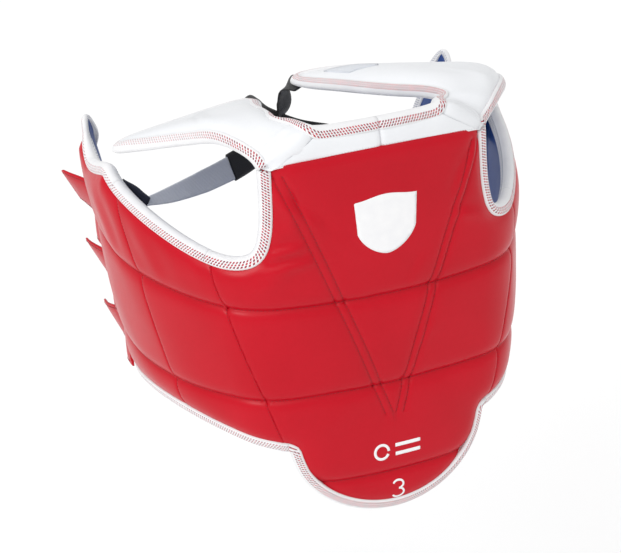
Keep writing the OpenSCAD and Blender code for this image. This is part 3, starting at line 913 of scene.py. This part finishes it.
def tab_pieces(word, z, flare, rise, lean):
    """A closing tab with its hook patch and stitches. It starts on the wing's face and flares out."""
    base, rising, step_off = (on_body((u, z), np.array([d]))[0]
                              for u, d in ((-430, 8.5), (-444, 12.8), (-466, 13.4)))
    foot = on_body((-(BACK_U + 3), z), np.array([4.0]))[0] + [-6.0, 1, 0]
    out = np.array([-TAB_RUN[1], TAB_RUN[0], 0])
    free = ((12, 1.0), (34, 2 + 0.2 * flare), (54, 2 + 0.6 * flare), (70, flare))
    route = [base, rising, step_off, *(foot + TAB_RUN * reach + out * off for reach, off in free)]
    points = spline(route, 46)
    run = run_of(points)
    share = run / run[-1]
    points[:, 2] += rise * ease((share - 0.3) / 0.7)
    w = np.linspace(-1, 1, 21)
    end_round = np.sqrt(np.clip(1 - np.clip((share - 0.93) / 0.07, 0, 1) ** 2.4, 0.0, 1))
    height = TAB_H / 2 * (0.8 + 0.2 * end_round)
    tangent = unit(np.gradient(points, axis=0))
    sides = np.tile([0.0, 0, 1], (len(share), 1))
    tilt = lean * ease((share - 0.25) / 0.75)
    face = unit(np.cross(tangent, sides))
    if (face[10] @ out) < 0:
        face = -face
    sides = unit(sides + face * np.tan(np.radians(tilt))[:, None])
    rim = np.minimum((1 - np.abs(w))[None] * height[:, None], (1 - share)[:, None] * run[-1])
    plump = 1.5 + 0.9 * (1 - np.exp(-np.maximum(rim - 4, 0) / 4)) - 0.5 * np.exp(-((rim - 4) / 1.1) ** 2)
    plump = plump * np.clip(rim / 1.2 + 0.35, 0.35, 1)
    grid = points[:, None] + sides[:, None] * (w[None, :, None] * height[:, None, None])
    top, low = grid + face[:, None] * plump[..., None], grid - face[:, None] * 1.4
    uv = np.stack([np.repeat(run[:, None], len(w), 1), w[None] * height[:, None]], axis=2) * MM
    tab = closed_grid(f"tab_{word}", top, low, uv)

    rows, cols = slice(18, 43), slice(3, 18)
    hook_low, hook_top = (low[rows, cols] + face[rows, None] * rise for rise in (-1.3, 0.4))
    hook = closed_grid(f"tab_hook_{word}", hook_top, hook_low, uv[rows, cols])

    inset = 4.0
    places = [i for i in range(3, len(points)) if run[-1] - run[i] > inset]
    centres, runs = [], []
    for sign in (-1, 1):
        line = np.array([grid[i, 10] + sides[i] * sign * max(height[i] - inset, 2) + face[i] * 1.9
                         for i in places])
        hem = run_of(line)
        centres.append(pick(np.arange(1.5, hem[-1], 3.4), hem, line))
        runs.append(np.gradient(centres[-1], axis=0))
    centres, runs = np.concatenate(centres), np.concatenate(runs)
    stitches = stitch_mesh(f"tab_stitches_{word}", centres, runs, np.tile(face[20], (len(centres), 1)),
                           length=2.4, width=0.8, lift=0.0)
    return tab, hook, stitches


# ---- Materials ----
def material(name, color, roughness, coat=0.0, coat_roughness=0.2, specular=0.5, sheen=0.0):
    made = bpy.data.materials.new(name)
    made.use_nodes = True
    shader = made.node_tree.nodes["Principled BSDF"]
    shader.inputs["Base Color"].default_value = (*color, 1)
    shader.inputs["Roughness"].default_value = roughness
    shader.inputs["Coat Weight"].default_value = coat
    shader.inputs["Coat Roughness"].default_value = coat_roughness
    shader.inputs["Specular IOR Level"].default_value = specular
    shader.inputs["Sheen Weight"].default_value = sheen
    return made, made.node_tree, shader


class Value:
    """Output of a shader node; arithmetic with it adds math nodes."""

    def __init__(self, tree, socket):
        self.tree, self.socket = tree, socket

    def calc(self, operation, *others, turned=False):
        made = self.tree.nodes.new("ShaderNodeMath")
        made.operation = operation
        terms = [self, *others]
        for entry, term in zip(made.inputs, terms[::-1] if turned else terms):
            if isinstance(term, Value):
                self.tree.links.new(term.socket, entry)
            else:
                entry.default_value = term
        return Value(self.tree, made.outputs[0])

    def __add__(self, other):
        return self.calc("ADD", other)

    def __sub__(self, other):
        return self.calc("SUBTRACT", other)

    def __rsub__(self, other):
        return self.calc("SUBTRACT", other, turned=True)

    def __mul__(self, other):
        return self.calc("MULTIPLY", other)

    def __truediv__(self, other):
        return self.calc("DIVIDE", other)

    def __gt__(self, other):
        return self.calc("GREATER_THAN", other)

    def __lt__(self, other):
        return self.calc("LESS_THAN", other)

    def sine(self):
        return self.calc("SINE")


def blend_color(tree, share, a, b):
    made = tree.nodes.new("ShaderNodeMix")
    made.data_type = "RGBA"
    tree.links.new(share.socket, made.inputs[0])
    for socket, value in ((made.inputs[6], a), (made.inputs[7], b)):
        if isinstance(value, Value):
            tree.links.new(value.socket, socket)
        else:
            socket.default_value = (*value, 1)
    return Value(tree, made.outputs[2])


def noise(tree, scale, detail=3.0, roughness=0.5):
    made = tree.nodes.new("ShaderNodeTexNoise")
    for entry, value in (("Scale", scale), ("Detail", detail), ("Roughness", roughness)):
        made.inputs[entry].default_value = value
    tree.links.new(place(tree).outputs["Object"], made.inputs["Vector"])
    return Value(tree, made.outputs["Fac"])


def place(tree):
    """The tree's one texture coordinate node."""
    found = tree.nodes.get("Place")
    if found is None:
        found = tree.nodes.new("ShaderNodeTexCoord")
        found.name = "Place"
    return found


def flat_place(tree):
    """Places along and across a strip, from its UV map, in metres."""
    split = tree.nodes.new("ShaderNodeSeparateXYZ")
    tree.links.new(place(tree).outputs["UV"], split.inputs[0])
    return Value(tree, split.outputs[0]), Value(tree, split.outputs[1])


def cells(tree, scale, feature="F1"):
    made = tree.nodes.new("ShaderNodeTexVoronoi")
    made.feature = feature
    made.inputs["Scale"].default_value = scale
    tree.links.new(place(tree).outputs["Object"], made.inputs["Vector"])
    return Value(tree, made.outputs["Distance"])


def bump(tree, shader, height, strength, distance_mm):
    made = tree.nodes.new("ShaderNodeBump")
    made.inputs["Strength"].default_value = strength
    made.inputs["Distance"].default_value = distance_mm * MM
    tree.links.new(height.socket, made.inputs["Height"])
    tree.links.new(made.outputs["Normal"], shader.inputs["Normal"])


def paint(tree, shader, color, entry="Base Color"):
    tree.links.new(color.socket, shader.inputs[entry])


def grain(tree, size_mm):
    """Leather grain: small pebbles between fine creases."""
    pebble = cells(tree, 1000 / size_mm, "DISTANCE_TO_EDGE")
    return (pebble * 3.0).calc("MINIMUM", 1.0) + noise(tree, 2600 / size_mm, 2.0) * 0.5


def leather(name, color, dark, roughness, coat, grain_mm=1.1, strength=0.16, specular=0.5):
    made, tree, shader = material(name, color, roughness, coat, 0.22, specular)
    mixed = noise(tree, 14) * 0.7 + noise(tree, 260, 2.0) * 0.3
    clamped = tree.nodes.new("ShaderNodeClamp")
    tree.links.new((mixed * 1.6 - 0.35).socket, clamped.inputs[0])
    paint(tree, shader, blend_color(tree, Value(tree, clamped.outputs[0]), dark, color))
    paint(tree, shader, noise(tree, 38, 4.0, 0.6) * 0.16 + (roughness - 0.08), "Roughness")
    bump(tree, shader, grain(tree, grain_mm), strength, 0.12)
    return made


def knit(name):
    """White knitted binding with rows of slanted checks, red on the outside and blue on the lining side."""
    made, tree, shader = material(name, (0.8, 0.8, 0.81), 0.75, sheen=0.25)
    run, round_ = flat_place(tree)
    whole = float(SECTION_RUN[-1]) * MM
    row_pitch, first_row, rows, mark_pitch = 2.5 * MM, 3.6 * MM, 3, 2.9 * MM
    at_row = (round_.calc("MINIMUM", whole - round_) - first_row) / row_pitch
    row, in_row = at_row.calc("FLOOR"), at_row.calc("FRACT")
    banded = (at_row > 0.0) * (at_row < float(rows))
    along_marks = (run / mark_pitch + (row * 0.5 + in_row * 0.45)).calc("FRACT")
    mark = (along_marks < 0.52) * ((in_row > 0.12) * (in_row < 0.88)) * banded
    strength = tree.nodes.new("ShaderNodeAttribute")
    strength.attribute_name = "marks"
    dark = noise(tree, 420, 1.0) > 0.5
    red = blend_color(tree, dark, (0.52, 0.02, 0.04), (0.2, 0.01, 0.03))
    blue = blend_color(tree, dark, (0.02, 0.05, 0.2), (0.06, 0.09, 0.16))
    checks = blend_color(tree, round_ > whole / 2, red, blue)
    soil = blend_color(tree, noise(tree, 60), (0.74, 0.74, 0.76), (0.86, 0.86, 0.86))
    paint(tree, shader, blend_color(tree, mark * Value(tree, strength.outputs["Fac"]), soil, checks))
    rib, cross = (run * (2 * math.pi / (1.45 * MM))).sine(), (round_ * (2 * math.pi / (1.25 * MM))).sine()
    bump(tree, shader, rib * cross * 0.5 + mark * -0.6, 0.5, 0.35)
    return made


def woven(name, color, dark, roughness, pitch_mm, twill=0.0, strength=0.6):
    """Woven tape: crossing threads, or slanted ribs where twill is set."""
    made, tree, shader = material(name, color, roughness, sheen=0.15)
    x, y = (place / (pitch_mm * MM) for place in flat_place(tree))
    if twill:
        weave = ((x + y * twill) * (2 * math.pi)).sine() + (y * (2 * math.pi * 1.6)).sine() * 0.35
    else:
        weave = (x * (2 * math.pi)).sine() * (y * (2 * math.pi)).sine()
    share = (weave * 0.35 + 0.5) * 0.7 + noise(tree, 300, 2.0) * 0.3
    paint(tree, shader, blend_color(tree, share, dark, color))
    bump(tree, shader, weave, strength, 0.25)
    return made


def fuzzy(name, color):
    made, tree, shader = material(name, color, 0.9, sheen=0.3)
    tufts = cells(tree, 900)
    bump(tree, shader, tufts, 0.9, 0.6)
    paint(tree, shader, blend_color(tree, tufts, (0.006, 0.006, 0.008), color))
    return made


def thread(name, color, dark):
    made, tree, shader = material(name, color, 0.6)
    paint(tree, shader, blend_color(tree, noise(tree, 700, 2.0), dark, color))
    bump(tree, shader, noise(tree, 1500, 2.0), 0.4, 0.1)
    return made


def printed(name):
    made, tree, shader = material(name, (0.86, 0.86, 0.87), 0.42)
    paint(tree, shader, blend_color(tree, noise(tree, 90, 4.0), (0.8, 0.8, 0.82), (0.9, 0.9, 0.9)))
    bump(tree, shader, grain(tree, 1.1), 0.12, 0.1)
    return made


RED = leather("red_leather", (0.54, 0.0028, 0.015), (0.46, 0.002, 0.011), 0.32, 0.14, specular=0.12)
WHITE = leather("white_leather", (0.82, 0.83, 0.85), (0.76, 0.775, 0.80), 0.44, 0.15, 1.0, 0.14)
BLUE = leather("blue_lining", (0.012, 0.055, 0.24), (0.008, 0.04, 0.18), 0.5, 0.05, 0.8, 0.2)
KNIT = knit("knit_binding")
BLACK = woven("black_webbing", (0.009, 0.009, 0.010), (0.003, 0.003, 0.003), 0.7, 1.6)
NAVY = woven("navy_webbing", (0.008, 0.012, 0.04), (0.003, 0.004, 0.012), 0.7, 1.6)
GREY = woven("grey_elastic", (0.80, 0.82, 0.86), (0.60, 0.63, 0.68), 0.75, 2.2, twill=1.0)
HOOKS = fuzzy("hook_and_loop", (0.03, 0.03, 0.034))
RED_THREAD = thread("red_thread", (0.42, 0.012, 0.025), (0.16, 0.001, 0.006))
WHITE_THREAD = thread("white_thread", (0.72, 0.72, 0.74), (0.55, 0.55, 0.58))
PRINT = printed("white_print")


def finish_with(piece, made, replaced=(), body=None):
    """Material and slot of a piece, the CAD nodes it stands for, and what carries it."""
    piece.data.materials.append(made)
    if body:
        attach(piece, body)
    if replaced:
        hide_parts(*replaced)
    return piece


def wrap_direction(u, z, hand):
    """A place a little further back along the wrap than (u, z)."""
    a, b = on_body((hand * u, z), np.zeros(1))[0], on_body((hand * (u + 6), z), np.zeros(1))[0]
    return [float(c) * MM for c in b - a]


def bend(piece, seam, hand):
    """Bakes a piece's placement into its mesh; the piece is not bent, and the direction worked out from the
    seam is not used.
    """
    ahead = wrap_direction(float(seam(200)), 200, hand)
    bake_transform(piece)


def bend_cap(piece):
    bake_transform(piece)


# ---- Camera, light and floor ----
def camera():
    azimuth, elevation, roll = (math.radians(a) for a in (-21.13, 22.71, -3.65))
    target, reach = Vector((-0.0183, 0.0, 0.2035)), 2.4
    back = Vector((math.sin(azimuth) * math.cos(elevation), -math.cos(azimuth) * math.cos(elevation),
                   math.sin(elevation)))
    right = Vector((math.cos(azimuth), math.sin(azimuth), 0))
    up = back.cross(right)
    x = right * math.cos(roll) + up * math.sin(roll)
    y = -right * math.sin(roll) + up * math.cos(roll)
    data = bpy.data.cameras.new("camera")
    data.sensor_width = 36
    data.lens = 132.2
    made = bpy.data.objects.new("camera", data)
    made.matrix_world = Matrix(((x.x, y.x, back.x, 0), (x.y, y.y, back.y, 0), (x.z, y.z, back.z, 0),
                                (0, 0, 0, 1)))
    made.location = target + back * reach
    bpy.context.scene.collection.objects.link(made)
    bpy.context.scene.camera = made


def area_light(name, place, target, power, size):
    data = bpy.data.lights.new(name, "AREA")
    data.energy = power
    data.size = size
    made = bpy.data.objects.new(name, data)
    made.location = place
    made.rotation_mode = "QUATERNION"
    made.rotation_quaternion = (Vector(target) - Vector(place)).to_track_quat("-Z", "Y")
    bpy.context.scene.collection.objects.link(made)
    return made


def studio():
    world = bpy.data.worlds.new("studio")
    world.use_nodes = True
    world.node_tree.nodes["Background"].inputs[0].default_value = (1, 1, 1, 1)
    world.node_tree.nodes["Background"].inputs[1].default_value = 0.78
    bpy.context.scene.world = world
    bpy.context.scene.view_settings.view_transform = "Standard"
    sun = bpy.data.objects.new("sun", bpy.data.lights.new("sun", "SUN"))
    sun.data.energy, sun.data.angle = 1.0, 1.2
    sun.rotation_mode = "QUATERNION"
    sun.rotation_quaternion = Vector((0.75, 0.55, -1.25)).to_track_quat("-Z", "Y")
    bpy.context.scene.collection.objects.link(sun)
    area_light("key", (-2.1, -1.1, 1.5), (0, 0, 0.2), 12, 0.7)
    mesh = bpy.data.meshes.new("floor")
    reach, low = 14.0, -0.42
    mesh.from_pydata([(-reach, -reach, low), (reach, -reach, low), (reach, reach, low), (-reach, reach, low)],
                     [], [(0, 1, 2, 3)])
    floor = bpy.data.objects.new("floor", mesh)
    mesh.materials.append(material("floor", (0.98, 0.98, 0.98), 0.9, specular=0.0)[0])
    bpy.context.scene.collection.objects.link(floor)


# ---- Building ----
def hand_line(line, side):
    return line if side == "left" else mirrored(line)


def build_pads(name, ending, polygon, foam, rows=()):
    """Cover and lining of one section."""
    cover = pad_half(f"{name}_cover_pad{ending}", polygon, cover_depth, 0.3, rows)
    finish_with(cover, RED, [f"{name}_cover{ending}", *foam, f"{name}_quilting{ending}"])
    lining = pad_half(f"{name}_lining_pad{ending}", polygon, lining_depth, -0.3)
    finish_with(lining, BLUE, [f"{name}_lining{ending}"])
    return [cover, lining]


def build_chest():
    polygon = chest_polygon()
    pieces = build_pads("chest", "", polygon, ["foam_tip", "foam_low", "foam_mid", "foam_top"], V_ROWS)
    low = PARTS["chest_low"]
    whole = np.concatenate([mirrored(low)[:-1], low])
    parts = [body_binding("chest_binding_low", whole, np.full(len(whole), 0.9))]
    for side in ("left", "right"):
        line = hand_line(PARTS["chest_high"], side)
        parts.append(body_binding(f"chest_binding_{side}", line, np.full(len(line), 1.0)))
    binding = join("chest_binding_sleeve", parts)
    pieces.append(finish_with(binding, KNIT, ["chest_binding"]))
    pieces.append(finish_with(stitched("chest_stitches", inner_lines(polygon)), RED_THREAD))
    rows = stitched("v_stitches", V_ROWS, pitch=3.4)
    pieces.append(finish_with(rows, RED_THREAD, ["v_stitching"]))
    for piece in pieces:
        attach(piece, "chest")


def build_prints():
    half, top, height = 31, 348, 62
    u = np.linspace(-half, half, 41)
    share = np.abs(u) / half
    upper = np.stack([u, top - 4 * np.sin(np.pi / 2 * share) ** 2], axis=1)
    lower = np.stack([u[1:-1], top - height * (0.45 + 0.55 * np.sqrt(1 - share[1:-1] ** 1.6))], axis=1)
    shield = print_piece("shield_print", np.concatenate([upper[::-1], lower]))
    finish_with(shield, PRINT, ["shield_emblem"], body="chest")

    angle = np.radians(np.arange(0, 345, 12))
    ring = np.array([-18, 70]) + 8 * np.stack([np.cos(angle), np.sin(angle)], axis=1)
    parts = [print_piece("tip_ring", stroke(ring, 3), step=1.1)]
    for z in (65, 75):
        parts.append(print_piece(f"tip_bar_{z}", stroke([(-2, z), (8, z), (18, z), (28, z)], 4), step=1.4))
    finish_with(join("tip_print", parts), PRINT, ["tip_mark"], body="chest")

    bowls = []
    for centre, wide, high, first, last in ((29, 6.4, 4.8, 158, -84), (19, 7.0, 5.4, 84, -158)):
        turn = np.radians(np.linspace(first, last, 20))
        path = np.array([0, centre]) + np.stack([wide * np.cos(turn), high * np.sin(turn)], axis=1)
        bowls.append(print_piece(f"numeral_bowl_{centre}", stroke(path, 2.3), step=0.9))
    finish_with(join("numeral_print", bowls), PRINT, ["size_numeral"], body="chest")


def build_side(side):
    polygon = side_polygon() if side == "left" else mirrored(side_polygon())
    pieces = build_pads("side", f"_{side}", polygon, [f"side_foam_{side}"])
    parts = []
    for key in ("side_low", "side_high"):
        line = hand_line(PARTS[key], side)
        marks = np.full(len(line), 0.7)
        if key == "side_high":
            marks = np.interp(np.abs(line[:, 0]), [150, 200, 280], [1, 0.9, 0.6])
        parts.append(body_binding(f"{key}_{side}", line, marks))
    binding = join(f"side_binding_sleeve_{side}", parts)
    pieces.append(finish_with(binding, KNIT, [f"side_binding_{side}"]))
    stitches = stitched(f"side_stitches_{side}", inner_lines(polygon))
    pieces.append(finish_with(stitches, RED_THREAD))
    z = np.arange(100, 350, 1.0)
    folds = [np.stack([hand_of(side) * (seam(z) + off), z], axis=1)
             for seam, off in ((seam_a, 1.2), (seam_b, -1.2))]
    folds = [line[inside(line, polygon)] for line in folds]
    fold_stitches = stitched(f"fold_stitches_{side}", folds, pitch=3.2, length=1.8, width=0.55, lift=0.0)
    pieces.append(finish_with(fold_stitches, RED_THREAD))
    for piece in pieces:
        bend(piece, seam_a, hand_of(side))


def build_back(side):
    polygon = back_polygon() if side == "left" else mirrored(back_polygon())
    pieces = build_pads("back", f"_{side}", polygon, [f"back_foam_{side}"])
    line = hand_line(PARTS["back"], side)
    shrink = 1 - 0.55 * np.exp(-((np.hypot(np.abs(line[:, 0]) - 404, line[:, 1] - 378)) / 22) ** 2)
    binding = body_binding(f"back_binding_sleeve_{side}", line, np.full(len(line), 0.55), shrink)
    pieces.append(finish_with(binding, KNIT, [f"back_binding_{side}"]))
    stitches = stitched(f"back_stitches_{side}", inner_lines(polygon))
    pieces.append(finish_with(stitches, RED_THREAD))
    for piece in pieces:
        bend(piece, seam_b, hand_of(side))


def build_shoulder(side):
    cover, lining, binding, stitches = shoulder_pieces(side)
    hidden = [f"cap_cover_{side}", f"cap_foam_{side}", "yoke_cover", "yoke_foam"]
    finish_with(cover, WHITE, hidden)
    finish_with(lining, BLUE, [f"cap_lining_{side}", "yoke_lining"])
    finish_with(binding, KNIT, [f"cap_binding_{side}", "neck_binding"])
    finish_with(stitches, WHITE_THREAD)
    for piece in (cover, lining, binding, stitches):
        bend_cap(piece)


def build_straps(side):
    other = "right" if side == "left" else "left"
    for kind, made, slot, body in (("band", BLACK, "black_webbing", f"cap_{side}"),
                                   ("cuff", BLACK, "black_webbing", f"cap_{side}"),
                                   ("elastic", GREY, "grey_elastic", f"side_{other}"),
                                   ("anchor", NAVY, "black_webbing", f"side_{other}")):
        finish_with(strap_piece(kind, side), made, [f"strap_{kind}_{side}"], body=body)


def build_tab(word, z, flare, rise, lean):
    tab, hook, stitches = tab_pieces(word, z, flare, rise, lean)
    finish_with(tab, RED, [f"tab_{word}"])
    finish_with(hook, HOOKS, [f"tab_hook_{word}"])
    finish_with(stitches, RED_THREAD)
    for piece in (tab, hook, stitches):
        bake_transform(piece)


def build_patches():
    parts = []
    for z in TAB_Z:
        half = (TAB_H - 4) / 2
        corners = [(395, z - half, 5), (456, z - half, 5), (456, z + half, 5), (395, z + half, 5)]
        polygon = rounded([corners[-1], *corners, corners[0]])[1:-1]
        parts.append(print_piece(f"loop_{z}", polygon, step=3.0, lift=1.5, depth=1.0))
    finish_with(join("loop_patches_left", parts), HOOKS, ["loop_patches"], body="back_left")


# Painted shade: a grey sheet in the grey elastic's material on the white left cap, standing in for the shade
# where the cap turns away from the light
def build_painted_shade_patch():
    middle, normal, thick, s, t, _, width = SHOULDER["left"]
    rows, cols = slice(86, 92), slice(3, 9)
    top = middle[rows, cols] + normal[rows, cols] * (thick[rows, cols] + 1.4)[..., None]
    low = middle[rows, cols] + normal[rows, cols] * (thick[rows, cols] - 0.6)[..., None]
    uv = np.stack([s[rows, None] * SHOULDER_RUN + 0 * t[rows, cols], t[rows, cols] * width[rows]], axis=2) * MM
    patch = closed_grid("cap_painted_shade_patch", top, low, uv)
    finish_with(patch, GREY, ["cap_patch_left"], body="cap_left")


camera()
studio()
build_chest()
build_prints()
for hand_name in ("left", "right"):
    build_side(hand_name)
    build_back(hand_name)
    build_shoulder(hand_name)
    build_straps(hand_name)
build_tab("top", TAB_Z[0], 11, 8, 28)
build_tab("middle", TAB_Z[1], 1, 5, 27)
build_tab("bottom", TAB_Z[2], -5, -9, 26)
build_patches()
build_painted_shade_patch()
